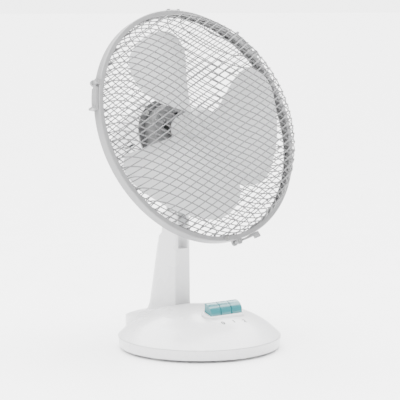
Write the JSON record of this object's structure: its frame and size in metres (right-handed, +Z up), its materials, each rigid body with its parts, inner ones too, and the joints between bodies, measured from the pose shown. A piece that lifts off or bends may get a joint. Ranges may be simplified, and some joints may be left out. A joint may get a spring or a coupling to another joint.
{
  "type": "desk fan",
  "caption": "Round-based desk fan with a tilting and swivelling head, domed mesh guards held by latches, three broad blades and a row of teal speed keys.",
  "frame": {"origin": "on the table under the middle of the round base", "axes": "+Z up, the front of the base and its keys face -Y, +X to the right seen from the front"},
  "size_m": [0.2756, 0.2272, 0.377],
  "materials": {
    "white_shell": "moulded ABS, semi-gloss",
    "white_wire": "white coated wire",
    "grey_plastic": "fine-textured grey moulding",
    "ring_grey": "light grey moulding",
    "teal_key": "teal moulding",
    "blade_white": "translucent white polypropylene",
    "dark_plastic": "black moulding",
    "rubber": "soft rubber",
    "steel": "machined steel",
    "lamination": "stacked electrical steel",
    "iron": "cast weight",
    "winding": "enamelled copper wire",
    "bronze": "sintered bronze"
  },
  "bodies": {
    "base": {"base_cover": "white_shell", "base_plate": "white_shell", "rubber_feet": "rubber", "base_screws": "steel", "cord_gland": "grey_plastic", "ballast": "iron", "capacitor": "dark_plastic", "key_bezel": "white_shell", "switch_body": "dark_plastic", "switch_terminals": "bronze", "switch_posts": "grey_plastic", "pillar_shell": "white_shell", "pillar_cover": "white_shell", "pillar_screws": "steel", "tilt_pin": "steel"},
    "key_off": {"key_off": "teal_key"},
    "key_low": {"key_low": "teal_key"},
    "key_high": {"key_high": "teal_key"},
    "neck": {"tilt_bracket": "grey_plastic", "swivel_bush": "bronze"},
    "head": {"swivel_stud": "steel", "motor_shell": "white_shell", "motor_face": "grey_plastic", "stator_core": "lamination", "stator_coils": "winding", "bearing_plates": "steel", "shaft_bushes": "bronze", "motor_bolts": "steel", "bolt_spacers": "steel", "gearbox": "grey_plastic", "rear_eye": "white_wire", "eye_screws": "steel", "rear_mesh": "white_wire", "front_mesh": "white_wire", "front_hoop": "white_wire", "rear_hoop": "white_wire", "guard_ring": "ring_grey", "ring_screw": "steel", "clip_pins": "steel"},
    "spinner": {"rotor": "lamination", "shaft": "steel", "worm": "steel", "fan_blade": "blade_white", "blade_nut": "blade_white"},
    "crank": {"worm_wheel": "grey_plastic", "wheel_spindle": "steel", "crank": "grey_plastic"},
    "link": {"link_arm": "grey_plastic"},
    "knob": {"swing_knob": "white_shell", "knob_rod": "steel"},
    "clip_1": {"guard_clip_1": "ring_grey"},
    "clip_2": {"guard_clip_2": "ring_grey"},
    "clip_3": {"guard_clip_3": "ring_grey"}
  },
  "joints": [
    {"name": "head_tilt", "type": "hinge", "parent": "base", "child": "neck", "pos_m": [0, 0.043, 0.138], "axis": [-1, 0, 0], "range_deg": [-21, 8]},
    {"name": "head_swivel", "type": "hinge", "parent": "neck", "child": "head", "pos_m": [0, 0.05395, 0.16593], "axis": [0, 0.3649, 0.9311], "range_deg": [-44, 36]},
    {"name": "blade_spin", "type": "hinge", "parent": "head", "child": "spinner", "pos_m": [0.0049, 0.01076, 0.24794], "axis": [0.0698, -0.9288, 0.364], "continuous": true},
    {"name": "crank_spin", "type": "hinge", "parent": "head", "child": "crank", "pos_m": [0.011, 0.1, 0.19149], "axis": [0, 0.3649, 0.9311], "continuous": true},
    {"name": "link_turn", "type": "hinge", "parent": "crank", "child": "link", "pos_m": [0.01135, 0.08441, 0.16538], "axis": [0, 0.3649, 0.9311], "continuous": true},
    {"name": "knob_pull", "type": "slide", "parent": "head", "child": "knob", "axis": [0, 0.3649, 0.9311], "range_m": [0, 0.005]},
    {"name": "key_off_press", "type": "slide", "parent": "base", "child": "key_off", "axis": [0, 0, 1], "range_m": [-0.0035, 0], "stiffness_N_per_m": 300},
    {"name": "key_low_press", "type": "slide", "parent": "base", "child": "key_low", "axis": [0, 0, 1], "range_m": [-0.0035, 0], "stiffness_N_per_m": 300},
    {"name": "key_high_press", "type": "slide", "parent": "base", "child": "key_high", "axis": [0, 0, 1], "range_m": [-0.0035, 0], "stiffness_N_per_m": 300},
    {"name": "clip_1_open", "type": "hinge", "parent": "head", "child": "clip_1", "pos_m": [0.11276, 0.04861, 0.32383], "axis": [-0.0698, 0.9288, -0.364], "range_deg": [0, 55]},
    {"name": "clip_2_open", "type": "hinge", "parent": "head", "child": "clip_2", "pos_m": [-0.122, 0.02125, 0.29903], "axis": [-0.0698, 0.9288, -0.364], "range_deg": [0, 55]},
    {"name": "clip_3_open", "type": "hinge", "parent": "head", "child": "clip_3", "pos_m": [0.02395, -0.03757, 0.12096], "axis": [-0.0698, 0.9288, -0.364], "range_deg": [0, 55]}
  ],
  "couplings": [
    {"joint": "crank_spin", "follows": "blade_spin", "ratio": -0.041667},
    {"joint": "link_turn", "follows": "blade_spin", "ratio": 0.041667}
  ]
}
